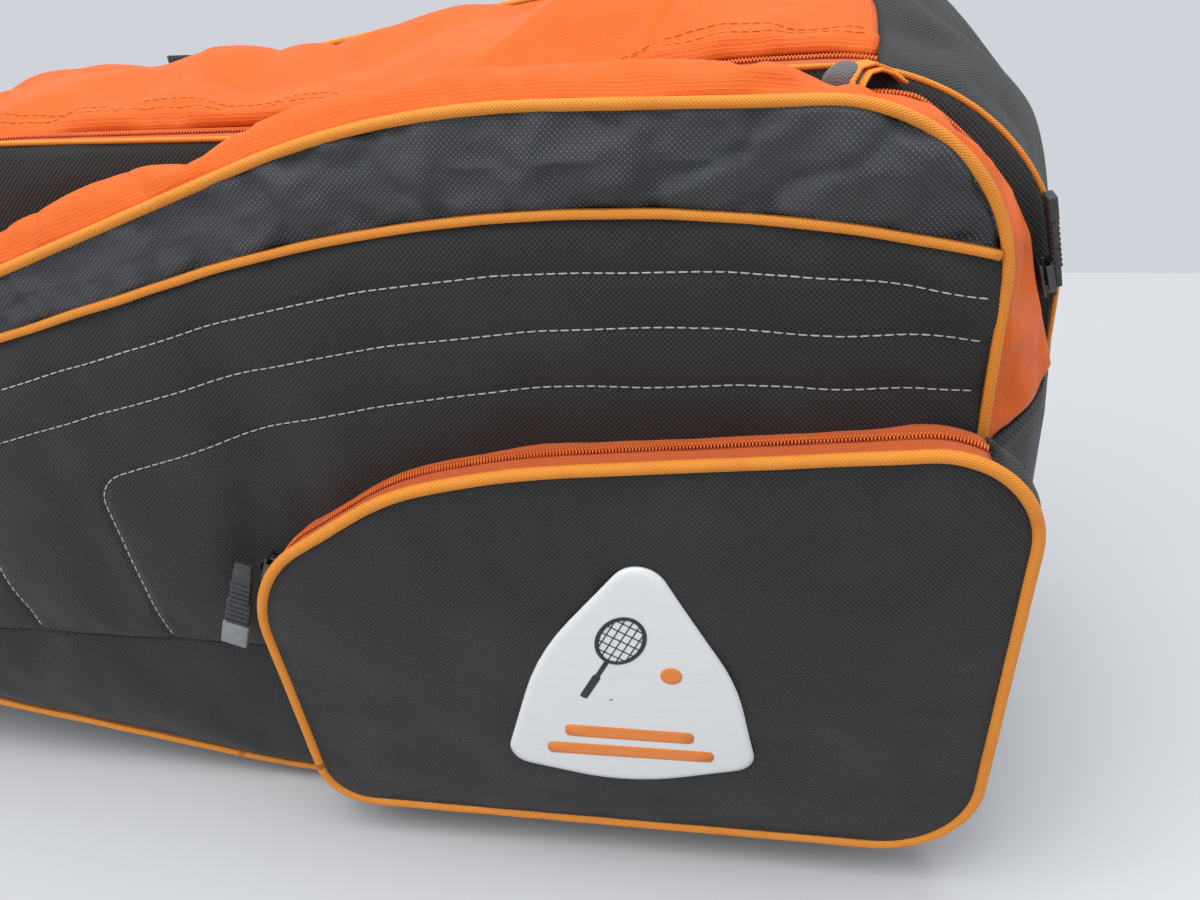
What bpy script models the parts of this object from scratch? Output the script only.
"""Racket tournament bag: two zipped racket compartments and a zipped front pocket.

The bag stands on its long bottom edge.  +X points to the wide head end, -X to the
narrow handle end, -Y to the front pocket, +Y to the padded back, +Z up.  The origin
is the bottom centre of the whole bag.  Metres throughout.
"""
import math

import bmesh
import bpy
from mathutils import Matrix, Vector

# ---------------------------------------------------------------- driving dimensions
SHELL = 0.004                 # padded wall of the rear compartment
PANEL = 0.004                 # padded front panel
TAPE = 0.0012                 # zip tape
GAP = 0.0005                  # sewing gap kept between neighbouring pieces

FRONT_Y = -0.090              # piping line of the front compartment
WALL_Y = -0.040               # wall between the two compartments
BACK_Y = 0.1045               # piping line of the back panel
POCKET_Y = -0.1163            # piping line of the front pocket

FRONT_PIPING_R = 0.0025
BAND_PIPING_R = 0.0024
REAR_PIPING_R = 0.0018
POCKET_PIPING_R = 0.0027

HEAD_X = 0.342                # head end of the front compartment
HEAD_LEAN = 0.003             # how far its edge leans back at the top
REAR_HEAD_X = 0.379           # head end of the rear compartment
HANDLE_X = -0.3598            # handle end of both compartments
FRONT_TOP_Z = 0.3255
SEAM_Z = 0.090                # seam between main face and bottom band

# Outline corners (x, z, fillet radius), counter-clockwise seen from the front.
FRONT_OUTLINE = [
    (0.045, 0.008, 0.300),
    (HEAD_X, 0.008, 0.050),
    (HEAD_X - HEAD_LEAN, FRONT_TOP_Z, 0.060),
    (0.139, FRONT_TOP_Z, 0.310),
    (-0.223, 0.195, 0.150),
    (HANDLE_X, 0.195, 0.040),
    (HANDLE_X, 0.072, 0.040),
    (-0.280, 0.072, 0.150),
]
REAR_FRONT_OUTLINE = [
    (-0.060, 0.004, 0.300),
    (REAR_HEAD_X, 0.004, 0.050),
    (REAR_HEAD_X - 0.012, 0.3275, 0.086),
    (0.250, 0.3240, 0.200),
    (0.110, 0.304, 0.200),
    (-0.075, 0.303, 0.200),
    (-0.260, 0.218, 0.100),
    (HANDLE_X, 0.212, 0.045),
    (HANDLE_X, 0.068, 0.045),
    (-0.270, 0.066, 0.100),
]
REAR_BACK_OUTLINE = [
    (-0.060, 0.004, 0.300),
    (REAR_HEAD_X, 0.004, 0.050),
    (REAR_HEAD_X - 0.014, 0.344, 0.086),
    (0.240, 0.344, 0.150),
    (0.040, 0.3110, 0.200),
    (-0.075, 0.294, 0.200),
    (-0.260, 0.214, 0.100),
    (HANDLE_X, 0.208, 0.045),
    (HANDLE_X, 0.068, 0.045),
    (-0.270, 0.066, 0.100),
]
POCKET_FOOT_Z = 0.0215
POCKET_HINGE_X = 0.215
POCKET_OUTLINE = [
    (0.074, POCKET_FOOT_Z, 0.022),
    (0.356, POCKET_FOOT_Z, 0.040),
    (0.358, 0.222, 0.036),
    (0.172, 0.205, 0.300),
    (0.128, 0.193, 0.090),
    (0.0635, 0.150, 0.050),
]

# Top flap of the rear compartment, opening between these stations.
FLAP_X = (-0.125, 0.300)
FLAP_BULGE = 0.010
FLAP_BACK_Y = BACK_Y - 0.005

# Lower end of the front zip at the head end, where its line stands FLARE out of the face.
# Along the top the zip line lies SINK below the face's outline, behind the gusset's crest.
FRONT_ZIP_START = (HEAD_X, 0.205)
FLARE = 0.028
FLARE_Z = (0.222, 0.312)
SINK = 0.009
SINK_Z = (0.215, 0.255)
SINK_X = (0.284, 0.312)
# Stretch of the head end that the lower slider of the front zip lies in.
END_SLIDE_Z = (0.231, 0.273)


# ---------------------------------------------------------------- outline helpers
def filleted(corners, steps=8):
    """Closed outline with every corner replaced by a tangent arc."""
    points = []
    count = len(corners)
    for i, (x, z, radius) in enumerate(corners):
        corner = Vector((x, z))
        before = (Vector(corners[i - 1][:2]) - corner).normalized()
        after = (Vector(corners[(i + 1) % count][:2]) - corner).normalized()
        half = before.angle(after) / 2
        reach = radius / math.tan(half)
        centre = corner + (before + after).normalized() * (radius / math.sin(half))
        first = corner + before * reach - centre
        turn = math.pi - 2 * half
        if first.x * before.y - first.y * before.x > 0:
            turn = -turn
        n = max(2, round(steps * abs(turn) / 1.2) + 1)
        for k in range(n + 1):
            a = turn * k / n
            spun = Vector((first.x * math.cos(a) - first.y * math.sin(a),
                           first.x * math.sin(a) + first.y * math.cos(a)))
            points.append(centre + spun)
    return points


def offset(points, distance):
    """Closed counter-clockwise outline moved outward by distance (inward if negative)."""
    moved = []
    for i, p in enumerate(points):
        along = (points[(i + 1) % len(points)] - points[i - 1]).normalized()
        moved.append(p + Vector((along.y, -along.x)) * distance)
    return moved


def nearest(points, target):
    """Index and fraction of the outline edge that passes nearest to a target."""
    best = None
    target = Vector(target)
    for i, p in enumerate(points):
        q = points[(i + 1) % len(points)]
        edge = q - p
        t = min(1.0, max(0.0, (target - p).dot(edge) / edge.length_squared))
        gap = (p + edge * t - target).length
        if best is None or gap < best[0]:
            best = (gap, i, t)
    return best[1], best[2]


def stretch(points, start, end):
    """The part of a closed outline from near start, counter-clockwise, to near end."""
    i, t = nearest(points, start)
    j, u = nearest(points, end)
    count = len(points)
    part = [points[i].lerp(points[(i + 1) % count], t)]
    k = (i + 1) % count
    while k != (j + 1) % count:
        part.append(points[k])
        k = (k + 1) % count
    part.append(points[j].lerp(points[(j + 1) % count], u))
    return [p for n, p in enumerate(part) if n == 0 or (p - part[n - 1]).length > 1e-5]


def resampled(points, count):
    """Open line with evenly spaced points."""
    lengths = [0.0]
    for a, b in zip(points, points[1:]):
        lengths.append(lengths[-1] + (b - a).length)
    result = []
    k = 0
    for n in range(count):
        want = lengths[-1] * n / (count - 1)
        while k < len(points) - 2 and lengths[k + 1] < want:
            k += 1
        span = lengths[k + 1] - lengths[k]
        result.append(points[k].lerp(points[k + 1], min(1.0, (want - lengths[k]) / span)))
    return result


def corner_centre(corners, i):
    """Centre of the arc that rounds corner i of an outline."""
    x, z, radius = corners[i]
    corner = Vector((x, z))
    before = (Vector(corners[i - 1][:2]) - corner).normalized()
    after = (Vector(corners[(i + 1) % len(corners)][:2]) - corner).normalized()
    return corner + (before + after).normalized() * (radius / math.sin(before.angle(after) / 2))


def height_at(points, x, top):
    """Height where a vertical line at x crosses a closed outline, at its top or bottom."""
    heights = []
    for i, p in enumerate(points):
        q = points[(i + 1) % len(points)]
        if (p.x - x) * (q.x - x) <= 0 and p.x != q.x:
            heights.append(p.y + (q.y - p.y) * (x - p.x) / (q.x - p.x))
    return max(heights) if top else min(heights)


# ---------------------------------------------------------------- object helpers
def clear_scene():
    for obj in list(bpy.data.objects):
        bpy.data.objects.remove(obj, do_unlink=True)


def principled(name, colour, roughness, metallic=0.0):
    material = bpy.data.materials.new(name)
    material.use_nodes = True
    shader = material.node_tree.nodes["Principled BSDF"]
    shader.inputs["Base Color"].default_value = (*colour, 1.0)
    shader.inputs["Roughness"].default_value = roughness
    shader.inputs["Metallic"].default_value = metallic
    material.diffuse_color = (*colour, 1.0)
    return material


def pivot(name, location, parent=None, rotation=None):
    """Empty on a joint's axis; what moves with the joint is parented to it."""
    empty = bpy.data.objects.new(name, None)
    empty.empty_display_size = 0.02
    bpy.context.collection.objects.link(empty)
    place = Matrix.Translation(location)
    if rotation is not None:
        place = place @ rotation.to_4x4()
    attach(empty, parent, place)
    return empty


def attach(obj, parent, world):
    obj.parent = parent
    if parent is None:
        obj.matrix_basis = world
    else:
        bpy.context.view_layer.update()
        obj.matrix_basis = parent.matrix_world.inverted() @ world
    bpy.context.view_layer.update()


def solid(name, verts, faces, material, parent=None, smooth=False, world=Matrix()):
    """Object from vertices in the bag's frame (or in the frame `world`)."""
    mesh = bpy.data.meshes.new(name)
    mesh.from_pydata([tuple(v) for v in verts], [], faces)
    mesh.materials.append(material)
    shape = bmesh.new()
    shape.from_mesh(mesh)
    bmesh.ops.recalc_face_normals(shape, faces=shape.faces)
    shape.to_mesh(mesh)
    shape.free()
    if smooth:
        mesh.shade_smooth()
        mesh.set_sharp_from_angle(angle=math.radians(40))
    obj = bpy.data.objects.new(name, mesh)
    bpy.context.collection.objects.link(obj)
    attach(obj, parent, world)
    return obj


def slab(name, points, y_front, y_back, material, parent=None):
    """Flat panel of a closed counter-clockwise outline between two depths."""
    n = len(points)
    verts = [(p.x, y_front, p.y) for p in points] + [(p.x, y_back, p.y) for p in points]
    faces = [tuple(range(n)), tuple(reversed(range(n, 2 * n)))]
    for i in range(n):
        j = (i + 1) % n
        faces.append((i, i + n, j + n, j))
    return solid(name, verts, faces, material, parent)


def between(name, x_range, low, high, y_front, y_back, material, parent=None, count=30):
    """Flat panel between two height functions of x."""
    xs = [x_range[0] + (x_range[1] - x_range[0]) * k / count for k in range(count + 1)]
    lower = [Vector((x, low(x))) for x in xs]
    upper = [Vector((x, high(x))) for x in reversed(xs)]
    return slab(name, lower + upper, y_front, y_back, material, parent)


def strip(name, line_a, line_b, y_a, y_b, thickness, material, parent=None, bulge=0.0, rows=1):
    """Wall lofted between two lines of equal count at depths y_a and y_b.

    The lines run counter-clockwise, and the wall's outer side is on them; it may bulge
    outward between them.
    """
    n = len(line_a)

    def normal(line, i):
        along = (line[min(i + 1, n - 1)] - line[max(i - 1, 0)]).normalized()
        return Vector((along.y, -along.x))

    verts = []
    for depth in (0.0, thickness):
        for i in range(n):
            for r in range(rows + 1):
                t = r / rows
                p = line_a[i].lerp(line_b[i], t)
                out = normal(line_a, i).lerp(normal(line_b, i), t).normalized()
                p = p + out * (bulge * math.sin(math.pi * t) - depth)
                verts.append((p.x, y_a + (y_b - y_a) * t, p.y))
    faces = []
    width = rows + 1
    inner = n * width
    for i in range(n - 1):
        for r in range(rows):
            a = i * width + r
            faces.append((a, a + 1, a + width + 1, a + width))
            faces.append((inner + a, inner + a + width, inner + a + width + 1, inner + a + 1))
    for r in (0, rows):
        for i in range(n - 1):
            a = i * width + r
            side = (a, a + width, inner + a + width, inner + a)
            faces.append(side if r == 0 else tuple(reversed(side)))
    for i in (0, n - 1):
        for r in range(rows):
            a = i * width + r
            side = (a, inner + a, inner + a + 1, a + 1)
            faces.append(side if i == 0 else tuple(reversed(side)))
    return solid(name, verts, faces, material, parent, smooth=True)


def tube(name, path, radius, material, parent=None, closed=False, sides=8):
    """Round cord along a path in the XZ plane given as 3-D points."""
    verts = []
    faces = []
    n = len(path)
    for i, p in enumerate(path):
        before = path[i - 1] if closed or i > 0 else p
        after = path[(i + 1) % n] if closed or i < n - 1 else p
        along = (after - before).normalized()
        side = along.cross(Vector((0, 1, 0))).normalized()
        for k in range(sides):
            a = 2 * math.pi * k / sides
            verts.append(p + side * radius * math.cos(a) + Vector((0, radius * math.sin(a), 0)))
    for i in range(n if closed else n - 1):
        j = (i + 1) % n
        for k in range(sides):
            m = (k + 1) % sides
            faces.append((i * sides + k, j * sides + k, j * sides + m, i * sides + m))
    if not closed:
        faces.append(tuple(range(sides)))
        faces.append(tuple(reversed(range((n - 1) * sides, n * sides))))
    return solid(name, verts, faces, material, parent, smooth=True)


def block(name, size, world, material, parent=None, bevel=0.0):
    """Box of a given size centred in the frame `world`, with rounded edges."""
    x, y, z = (s / 2 for s in size)
    verts = [(sx * x, sy * y, sz * z) for sx in (-1, 1) for sy in (-1, 1) for sz in (-1, 1)]
    faces = [(0, 1, 3, 2), (4, 6, 7, 5), (0, 4, 5, 1), (2, 3, 7, 6), (0, 2, 6, 4), (1, 5, 7, 3)]
    obj = solid(name, verts, faces, material, parent, world=world)
    if bevel:
        rounding = obj.modifiers.new("rounded edges", "BEVEL")
        rounding.width = bevel
        rounding.segments = 1
    return obj


def ribbon(name, centre, normals, width_axis, width, thickness, material, parent=None):
    """Flat webbing along a centre line: width along one axis, thickness along normals."""
    verts = []
    for p, out in zip(centre, normals):
        for s, t in ((-1, -1), (1, -1), (1, 1), (-1, 1)):
            verts.append(p + width_axis * (s * width / 2) + out * (t * thickness / 2))
    faces = [(0, 1, 2, 3), tuple(4 * (len(centre) - 1) + k for k in (3, 2, 1, 0))]
    for i in range(len(centre) - 1):
        for k in range(4):
            m = (k + 1) % 4
            faces.append((4 * i + k, 4 * i + 4 + k, 4 * i + 4 + m, 4 * i + m))
    return solid(name, verts, faces, material, parent)


# ---------------------------------------------------------------- materials
def make_materials():
    orange = (0.95, 0.33, 0.05)
    return {
        "black_fabric": principled("black_polyester", (0.030, 0.030, 0.032), 0.85),
        "slate_fabric": principled("slate_nylon", (0.075, 0.082, 0.090), 0.55),
        "orange_ripstop": principled("orange_ripstop", orange, 0.60),
        "orange_cord": principled("orange_piping", (1.0, 0.42, 0.06), 0.65),
        "orange_zip": principled("orange_zip", (0.85, 0.20, 0.05), 0.60),
        "gunmetal": principled("gunmetal", (0.10, 0.10, 0.11), 0.35, 1.0),
        "pull_plastic": principled("ribbed_pull", (0.05, 0.05, 0.055), 0.45),
        "white_badge": principled("white_badge", (0.85, 0.85, 0.85), 0.50),
        "lining": principled("grey_lining", (0.18, 0.18, 0.19), 0.80),
        "board": principled("base_board", (0.08, 0.08, 0.08), 0.50),
        "webbing": principled("black_webbing", (0.025, 0.025, 0.027), 0.70),
        "mesh": principled("air_mesh", (0.04, 0.04, 0.042), 0.90),
    }


def ring_at(points, y):
    """Closed 3-D path along an outline at depth y."""
    return [Vector((p.x, y, p.y)) for p in points]


def zip_pull(name, slider_top, lie, across, length, width, material, parent):
    """Flat pull tab that starts at the slider and lies along `lie`."""
    frame = Matrix((lie, across, lie.cross(across))).transposed().to_4x4()
    centre = slider_top + lie * (length / 2)
    return block(name, (length, width, 0.003), Matrix.Translation(centre) @ frame,
                 material, parent, bevel=0.0008)


# ---------------------------------------------------------------- rear compartment
def rear_compartment(mats):
    front = filleted(REAR_FRONT_OUTLINE)
    back = filleted(REAR_BACK_OUTLINE)
    inset = REAR_PIPING_R + GAP

    slab("rear_front_wall", offset(front, -inset), WALL_Y - SHELL / 2, WALL_Y + SHELL / 2,
         mats["black_fabric"])
    slab("rear_back_panel", offset(back, -inset), BACK_Y - SHELL / 2, BACK_Y + SHELL / 2,
         mats["black_fabric"])
    tube("rear_front_piping", ring_at(front, WALL_Y), REAR_PIPING_R, mats["orange_cord"],
         closed=True, sides=6)
    tube("rear_back_piping", ring_at(back, BACK_Y), REAR_PIPING_R, mats["orange_cord"],
         closed=True, sides=6)

    wall_back = WALL_Y + SHELL / 2 + GAP
    panel_front = BACK_Y - SHELL / 2 - GAP
    zip_rear = wall_back + 0.0145

    def side(name, y_a, y_b, start, end, count, material, parent=None, bulge=0.0,
             rows=1, thickness=SHELL):
        """Wall around the rim from start to end, between two depths of the loft."""
        span = BACK_Y - WALL_Y
        a = resampled(stretch(front, start[0], end[0]), count)
        b = resampled(stretch(back, start[1], end[1]), count)
        t_a = (y_a - WALL_Y) / span
        t_b = (y_b - WALL_Y) / span
        line_a = [p.lerp(q, t_a) for p, q in zip(a, b)]
        line_b = [p.lerp(q, t_b) for p, q in zip(a, b)]
        return strip(name, line_a, line_b, y_a, y_b, thickness, material, parent, bulge, rows)

    def rim(x, top=True, shift=0.0):
        """Matching points of the front and back outlines at one station along the bag."""
        return [(x + shift, height_at(line, x + shift, top)) for line in (front, back)]

    flat = (-0.020, 0.310)
    side("rear_head_gusset", wall_back, panel_front, rim(flat[1], False, 0.001),
         rim(FLAP_X[1], True, 0.0015), 20, mats["black_fabric"], bulge=0.004, rows=3)
    side("rear_handle_gusset", wall_back, panel_front, rim(FLAP_X[0], True, -0.0015),
         rim(flat[0], False, -0.001), 26, mats["black_fabric"], bulge=0.004, rows=3)

    # Flat bottom that the bag stands on, and the stiff board inside on top of it.
    depth = panel_front - wall_back
    middle = (panel_front + wall_back) / 2
    length = flat[1] - flat[0]
    block("rear_base_panel", (length, depth, SHELL),
          Matrix.Translation((sum(flat) / 2, middle, SHELL / 2)), mats["black_fabric"])
    block("base_board", (length - 0.02, depth - 0.010, 0.0025),
          Matrix.Translation((sum(flat) / 2, middle, SHELL + GAP + 0.00125)), mats["board"])
    slab("rear_inner_divider", offset(back, -0.024), 0.028, 0.031, mats["lining"])

    # Zip along the front edge of the top flap: one tape and coil row on each side.
    coil_y = wall_back + 0.0055
    side("rear_zip_tape_wall", wall_back, coil_y - GAP, rim(FLAP_X[1]), rim(FLAP_X[0]), 16,
         mats["orange_zip"], thickness=TAPE)
    side("rear_zip_coil_wall", coil_y, coil_y + 0.0018, rim(FLAP_X[1]), rim(FLAP_X[0]), 16,
         mats["orange_zip"], thickness=0.0016)

    # Hinge of the flap: the straight line just inside its back edge.
    ends = [Vector((x, FLAP_BACK_Y, height_at(back, x, True))) for x in (0.100, 0.250)]
    axis = (ends[1] - ends[0]).normalized()
    turned = axis.to_track_quat("X", "Z").to_matrix()
    hinge = pivot("rear_flap_hinge", ends[0].lerp(ends[1], 0.3), rotation=turned)
    side("rear_zip_coil_flap", coil_y + 0.0022, coil_y + 0.0040, rim(FLAP_X[1]), rim(FLAP_X[0]),
         16, mats["orange_zip"], hinge, thickness=0.0016)
    side("rear_zip_tape_flap", coil_y + 0.0045, zip_rear - GAP, rim(FLAP_X[1]), rim(FLAP_X[0]),
         16, mats["orange_zip"], hinge, thickness=TAPE)
    side("rear_top_panel", zip_rear, FLAP_BACK_Y, rim(FLAP_X[1]), rim(FLAP_X[0]), 16,
         mats["orange_ripstop"], hinge, bulge=FLAP_BULGE, rows=5, thickness=0.003)

    # Slider at the closed end of the zip, where the line bends down to the handle end: it
    # runs round that bend, so its joint is a hinge at the middle of the arc.
    bend = corner_centre(REAR_FRONT_OUTLINE, 5)
    rest = math.radians(22.5)
    up = Vector((-math.sin(rest), 0, math.cos(rest)))
    run = Vector((-up.z, 0, up.x))
    middle = Vector((bend.x, coil_y + 0.002, bend.y))
    seat = middle + up * (REAR_FRONT_OUTLINE[5][2] + 0.0036)
    frame = Matrix((run, Vector((0, 1, 0)), run.cross(Vector((0, 1, 0))))).transposed()
    slide = pivot("rear_slider_path", middle, hinge)
    block("rear_zip_slider", (0.013, 0.009, 0.004), Matrix.Translation(seat) @ frame.to_4x4(),
          mats["gunmetal"], slide, bevel=0.0008)
    hold = seat + up * 0.0045 - run * 0.004
    swing = pivot("rear_pull_swing", hold, slide)
    zip_pull("rear_zip_pull", hold, run, Vector((0, 1, 0)), 0.038, 0.009,
             mats["pull_plastic"], swing)


# ---------------------------------------------------------------- front compartment
def band_line(x):
    """Height of the piping between the main face and the upper band."""
    crest = 0.215
    return 0.2915 - (0.95 * (crest - x) ** 2 if x < crest else 0.95 * (x - crest) ** 2)


def front_compartment(mats):
    outline = filleted(FRONT_OUTLINE)
    panel_y = (FRONT_Y - PANEL / 2, FRONT_Y + PANEL / 2)
    edge = offset(outline, -(FRONT_PIPING_R + GAP))

    # Everything in front of the zip swings forward about the bottom edge of the face.
    lid = pivot("front_lid_hinge", (0.19, FRONT_Y + 0.003, 0.0105))

    span = (edge_left(edge) + 0.002, HEAD_X - HEAD_LEAN - FRONT_PIPING_R - 0.0030)
    clear = BAND_PIPING_R + GAP

    def slope_line(x):
        """Band piping: an arch at the head end that runs straight down to the handle."""
        join = 0.060
        if x >= join:
            return band_line(x)
        return band_line(join) - 0.300 * (join - x)

    band_start = edge_left(edge) + 0.012
    band_end = HEAD_X - HEAD_LEAN - FRONT_PIPING_R - 0.0025

    def band_gap(x, sign):
        return slope_line(x) + sign * clear

    between("front_main_panel", (span[0] + 0.006, span[1]), lambda x: SEAM_Z + GAP,
            lambda x: band_gap(x, -1), *panel_y, mats["black_fabric"], lid, count=40)
    between("front_upper_band", (band_start, span[1]), lambda x: band_gap(x, 1),
            lambda x: height_at(edge, x, True), *panel_y, mats["slate_fabric"], lid, count=36)
    between("front_bottom_band", (span[0] + 0.006, span[1]), lambda x: height_at(edge, x, False),
            lambda x: SEAM_Z - GAP, *panel_y, mats["black_fabric"], lid, count=36)
    tube("front_outer_piping", ring_at(outline, FRONT_Y), FRONT_PIPING_R,
         mats["orange_cord"], lid, closed=True)
    xs = [band_start + (band_end - band_start) * k / 34 for k in range(35)]
    tube("front_band_piping", [Vector((x, FRONT_Y - 0.0005, band_gap(x, 0))) for x in xs],
         BAND_PIPING_R, mats["orange_cord"], lid)

    # Gusset ring between the face and the zip; the bottom part stays with the wall.
    gusset_a = FRONT_Y + FRONT_PIPING_R + GAP
    tape_lid = WALL_Y - SHELL / 2 - 0.0145
    bottom_left = (0.020, height_at(outline, 0.020, False))
    bottom_right = (0.280, 0.008)

    def side(name, y_a, y_b, start, end, count, material, parent=None, bulge=0.0, rows=1,
             thickness=0.0025):
        line = resampled(stretch(outline, start, end), count)
        rear = [flared(p) for p in line]
        near = line if y_a == gusset_a else rear
        return strip(name, near, rear, y_a, y_b, thickness, material, parent, bulge, rows)

    def shifted(point, dx, dz):
        return (point[0] + dx, point[1] + dz)

    zip_low = FRONT_ZIP_START
    zip_far = (-0.200, height_at(outline, -0.200, True))
    side("front_top_gusset", gusset_a, tape_lid - GAP, shifted(zip_low, 0, 0.001), zip_far, 34,
         mats["orange_ripstop"], lid, bulge=0.007, rows=4)
    side("front_head_gusset", gusset_a, WALL_Y - SHELL / 2 - GAP, shifted(bottom_right, 0.001, 0),
         shifted(zip_low, 0, -0.001), 12, mats["black_fabric"], lid, bulge=0.005, rows=2)
    side("front_handle_gusset", gusset_a, WALL_Y - SHELL / 2 - GAP, shifted(zip_far, -0.002, 0),
         shifted(bottom_left, -0.001, 0), 26, mats["black_fabric"], lid, bulge=0.004, rows=2)
    side("front_bottom_gusset", gusset_a + 0.004, WALL_Y - SHELL / 2 - GAP, bottom_left,
         bottom_right, 6, mats["black_fabric"])

    coil_lid = tape_lid + 0.0050
    coil_wall = coil_lid + 0.0022
    zip_ends = (shifted(zip_low, 0, 0.001), shifted(zip_far, 0.001, 0))
    side("front_zip_tape_lid", tape_lid, coil_lid - GAP, *zip_ends, 34, mats["orange_zip"], lid,
         thickness=TAPE)
    side("front_zip_coil_lid", coil_lid, coil_lid + 0.0018, *zip_ends, 34, mats["orange_zip"],
         lid, thickness=0.0016)
    side("front_zip_coil_wall", coil_wall, coil_wall + 0.0018, *zip_ends, 34,
         mats["orange_zip"], thickness=0.0016)
    side("front_zip_tape_wall", coil_wall + 0.0023, WALL_Y - SHELL / 2 - GAP, *zip_ends, 34,
         mats["orange_zip"], thickness=TAPE)

    # Two sliders: one on the crest, one on the slanting line at the head end.
    coil_y = coil_lid + 0.002
    top = Vector((0.258, coil_y, FRONT_TOP_Z - SINK + 0.0028))
    slide = pivot("front_top_slider_path", top, lid)
    block("front_zip_slider_top", (0.013, 0.009, 0.004), Matrix.Translation(top),
          mats["gunmetal"], slide, bevel=0.0008)
    hold = top + Vector((0.004, 0, 0.0045))
    swing = pivot("front_top_pull_swing", hold, slide)
    zip_pull("front_zip_pull_top", hold, Vector((-1, 0, 0)), Vector((0, 1, 0)), 0.038, 0.009,
             mats["pull_plastic"], swing)

    upper = flared(Vector((HEAD_X - HEAD_LEAN, END_SLIDE_Z[1])))
    lower = flared(Vector((HEAD_X - HEAD_LEAN, END_SLIDE_Z[0])))
    run = Vector((lower.x - upper.x, 0, lower.y - upper.y)).normalized()
    out = Vector((-run.z, 0, run.x))
    middle = upper.lerp(lower, 0.5)
    seat = Vector((middle.x, coil_y, middle.y)) + out * 0.0042
    frame = Matrix((run, Vector((0, 1, 0)), run.cross(Vector((0, 1, 0))))).transposed()
    slide = pivot("front_end_slider_path", seat, lid, frame)
    block("front_zip_slider_end", (0.013, 0.009, 0.004), slide.matrix_world.copy(),
          mats["gunmetal"], slide, bevel=0.0008)
    hold = seat + out * 0.0045 + run * 0.004
    swing = pivot("front_end_pull_swing", hold, slide)
    zip_pull("front_zip_pull_end", hold, (out * 0.05 - run).normalized(), Vector((0, 1, 0)),
             0.034, 0.008, mats["pull_plastic"], swing)
    return lid


def edge_left(points):
    return min(p.x for p in points)


def flared(point):
    """Zip line: out from the face's outline at the head end, and below it along the top."""
    share = (FLARE_Z[1] - point.y) / (FLARE_Z[1] - FLARE_Z[0])
    ease = min(1.0, max(0.0, share))
    foot = min(1.0, max(0.0, (point.y - 0.008) / 0.040))
    side = min(1.0, max(0.0, (point.x - 0.300) / 0.035))
    drop = min(1.0, max(0.0, (point.y - SINK_Z[0]) / (SINK_Z[1] - SINK_Z[0])))
    drop *= min(1.0, max(0.0, (SINK_X[1] - point.x) / (SINK_X[1] - SINK_X[0])))
    return Vector((point.x + FLARE * ease * foot * side, point.y - SINK * drop))


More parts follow.
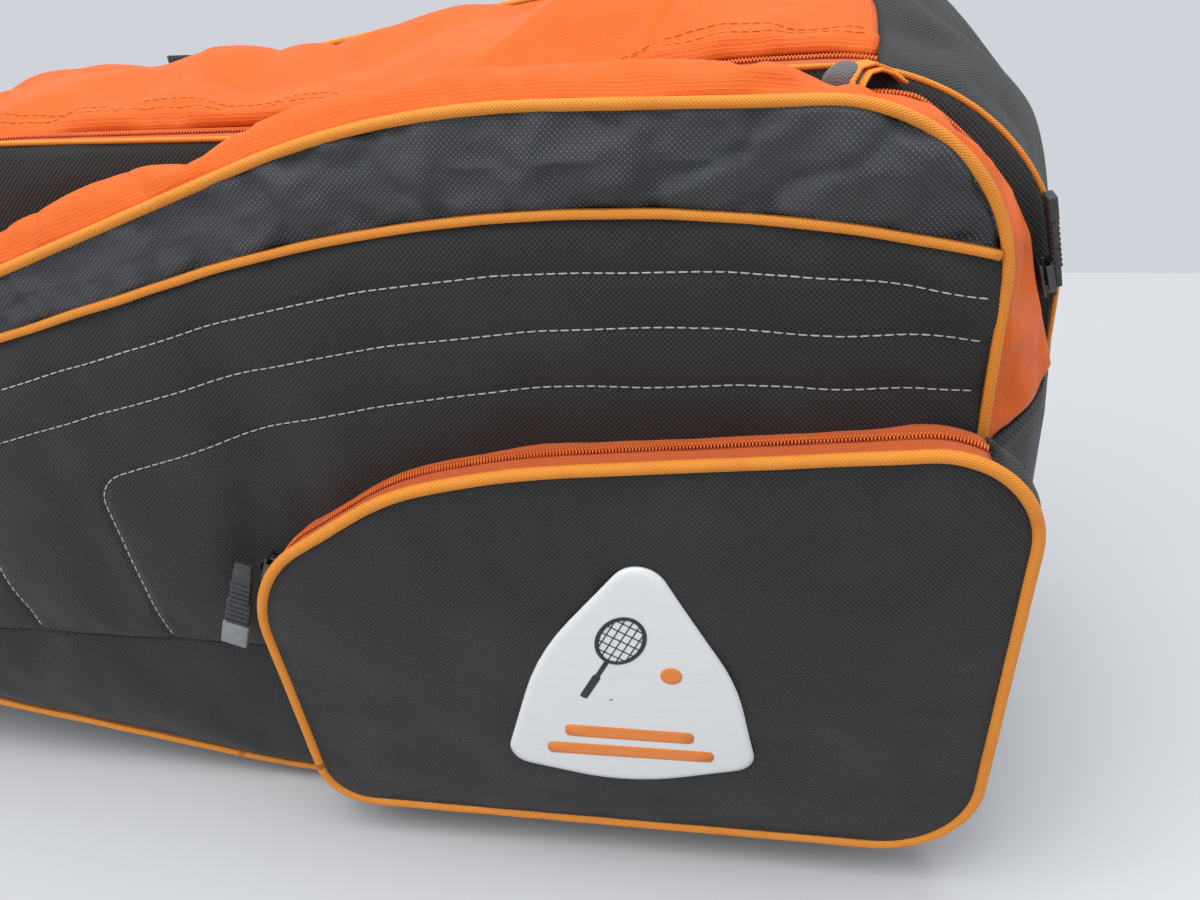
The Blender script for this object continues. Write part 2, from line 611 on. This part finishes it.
# ---------------------------------------------------------------- front pocket
def front_pocket(mats, lid):
    outline = filleted(POCKET_OUTLINE)
    skin = FRONT_Y - PANEL / 2
    root_y = skin - 0.0030
    rim_y = POCKET_Y + POCKET_PIPING_R + GAP
    face = (POCKET_Y - 0.0015, POCKET_Y + 0.0015)

    zip_right = (0.340, height_at(outline, 0.340, True))
    zip_left = (0.0640, 0.1080)

    def tuck(p):
        """How far the gusset's root is drawn in at the head end, to stay on the face."""
        share = min(1.0, max(0.0, (0.195 - p.y) / 0.030))
        return max(0.0, p.x - HEAD_X - 0.004) * share

    def side(name, y_a, y_b, start, end, count, material, parent, thickness=0.0022,
             tucked=False):
        line = resampled(stretch(outline, start, end), count)
        rear = [Vector((p.x - tuck(p) if tucked else p.x, p.y)) for p in line]
        return strip(name, line, rear, y_a, y_b, thickness, material, parent)

    def shifted(point, dx, dz):
        return (point[0] + dx, point[1] + dz)

    side("pocket_gusset", rim_y, root_y, shifted(zip_left, 0, -0.001), shifted(zip_right, 0.001, 0),
         30, mats["black_fabric"], lid, tucked=True)
    coil_back = root_y - 0.0065
    side("pocket_zip_tape_panel", coil_back + GAP, root_y, zip_right, zip_left, 22,
         mats["orange_zip"], lid, thickness=TAPE)
    side("pocket_zip_coil_panel", coil_back - 0.0016, coil_back, zip_right, zip_left, 22,
         mats["orange_zip"], lid, thickness=0.0016)

    # The face swings forward about its bottom edge once the zip is open.
    flap = pivot("pocket_flap_hinge", (POCKET_HINGE_X, POCKET_Y - POCKET_PIPING_R,
                                       POCKET_FOOT_Z - POCKET_PIPING_R), lid)
    slab("pocket_face", offset(outline, -(POCKET_PIPING_R + GAP)), *face,
         mats["black_fabric"], flap)
    tube("pocket_piping", ring_at(outline, POCKET_Y), POCKET_PIPING_R,
         mats["orange_cord"], flap, closed=True)
    side("pocket_zip_coil_flap", coil_back - 0.0036, coil_back - 0.0020, zip_right, zip_left, 22,
         mats["orange_zip"], flap, thickness=0.0016)
    side("pocket_zip_tape_flap", rim_y, coil_back - 0.0041, zip_right, zip_left, 22,
         mats["orange_zip"], flap, thickness=TAPE)

    badge(mats, flap, face[0])

    # Slider at the closed, lower end of the zip: it runs round the pocket's left shoulder,
    # so its joint is a hinge at the middle of that arc.
    shoulder = corner_centre(POCKET_OUTLINE, 5)
    rest = math.radians(24)
    out = Vector((-math.cos(rest), 0, math.sin(rest)))
    run = Vector((out.z, 0, -out.x))
    middle = Vector((shoulder.x, coil_back - 0.0018, shoulder.y))
    radius = POCKET_OUTLINE[5][2]
    frame = Matrix((run, Vector((0, 1, 0)), run.cross(Vector((0, 1, 0))))).transposed()
    slide = pivot("pocket_slider_path", middle, flap)
    block("pocket_zip_slider", (0.013, 0.0085, 0.004),
          Matrix.Translation(middle + out * (radius + 0.0030)) @ frame.to_4x4(),
          mats["gunmetal"], slide, bevel=0.0008)
    hold = middle + out * (radius + 0.0122) + Vector((0, -0.0055, 0.001))
    swing = pivot("pocket_pull_swing", hold, slide)
    hang = Vector((-0.33, 0, -0.94)).normalized()
    zip_pull("pocket_zip_pull", hold, hang, Vector((-hang.z, 0, hang.x)), 0.046, 0.0115,
             mats["pull_plastic"], swing)


def badge(mats, parent, surface):
    """Thin moulded patch with three bulging sides, on the pocket face."""
    centre = Vector((0.2155, 0.106))
    half_width = 0.052
    low = 0.065
    high = 0.176
    corners = [
        (centre.x - half_width, low + 0.004, 0.010),
        (centre.x, low - 0.010, 0.085),
        (centre.x + half_width, low + 0.004, 0.010),
        (centre.x + 0.043, 0.118, 0.085),
        (centre.x + 0.008, high + 0.004, 0.012),
        (centre.x - 0.034, 0.128, 0.110),
    ]
    slab("badge", filleted(corners, 4), surface - 0.0012 - GAP, surface - GAP,
         mats["white_badge"], parent)


# ---------------------------------------------------------------- back: handle and straps
def carry_handle(mats):
    """Webbing loop sewn to the back panel, hanging down, with a padded grip."""
    skin = BACK_Y + SHELL / 2
    y = skin + 0.0062
    top_z = 0.276
    drop = 0.080
    half = 0.085
    middle = 0.055
    swing = pivot("carry_handle_swing", (middle, y, top_z))
    radius = 0.030
    centre = []
    for k in range(5):
        centre.append(Vector((middle - half, y, top_z - (drop - radius) * k / 4)))
    for k in range(1, 7):
        a = math.pi / 2 * k / 6
        centre.append(Vector((middle - half + radius - radius * math.cos(a), y,
                              top_z - drop + radius - radius * math.sin(a))))
    right = [Vector((2 * middle - p.x, p.y, p.z)) for p in reversed(centre)]
    line = centre + right
    normals = []
    for i, p in enumerate(line):
        along = (line[min(i + 1, len(line) - 1)] - line[max(i - 1, 0)]).normalized()
        normals.append(along.cross(Vector((0, 1, 0))).normalized())
    width_axis = Vector((0, 1, 0))
    ribbon("carry_handle", line, normals, width_axis, 0.0040, 0.020, mats["webbing"], swing)
    grip_z = top_z - drop
    for x, label in ((middle - half, "left"), (middle + half, "right")):
        block("handle_anchor_" + label, (0.030, 0.0020, 0.040),
              Matrix.Translation((x, skin + 0.0013, top_z + 0.012)), mats["webbing"])
    block("handle_grip", (0.095, 0.0032, 0.026),
          Matrix.Translation((middle, y + 0.0040, grip_z)), mats["mesh"], swing, bevel=0.001)


def back_strap(mats, label, z):
    """Padded shoulder strap on the back: pad, ladder lock and webbing."""
    skin = BACK_Y + SHELL / 2
    root_x = 0.230
    pad_end = -0.100
    thickness = 0.0080
    y = skin + 0.0050 + thickness / 2
    swing = pivot("strap_swing_" + label, (root_x, skin + 0.003, z))
    block("strap_anchor_" + label, (0.050, 0.0020, 0.048),
          Matrix.Translation((root_x + 0.024, skin + 0.0013, z)), mats["webbing"])
    block("strap_pad_" + label, (root_x - pad_end, thickness, 0.052),
          Matrix.Translation(((root_x + pad_end) / 2, y, z)), mats["mesh"], swing, bevel=0.002)
    block("ladder_lock_" + label, (0.028, 0.0060, 0.034),
          Matrix.Translation((pad_end - 0.0165, y, z)), mats["pull_plastic"], swing, bevel=0.001)
    block("strap_webbing_" + label, (0.165, 0.0016, 0.025),
          Matrix.Translation((pad_end - 0.0700, skin + 0.0013, z)), mats["webbing"])


def end_loop(mats):
    """Short webbing loop that stands off the handle end."""
    start, end = 0.098, 0.186
    stand = 0.0160
    base = HANDLE_X - 0.0048
    steps = 10
    centre = []
    normals = []
    for k in range(steps + 1):
        t = k / steps
        rise = math.sin(math.pi * t) ** 0.6
        centre.append(Vector((base - stand * rise, 0.030, start + (end - start) * t)))
    for i in range(steps + 1):
        along = (centre[min(i + 1, steps)] - centre[max(i - 1, 0)]).normalized()
        normals.append(along.cross(Vector((0, 1, 0))).normalized())
    ribbon("end_loop", centre, normals, Vector((0, 1, 0)), 0.025, 0.0018, mats["webbing"])


# ---------------------------------------------------------------- assembly
def main():
    clear_scene()
    mats = make_materials()
    rear_compartment(mats)
    lid = front_compartment(mats)
    front_pocket(mats, lid)
    carry_handle(mats)
    back_strap(mats, "upper", 0.152)
    back_strap(mats, "lower", 0.080)
    end_loop(mats)


main()
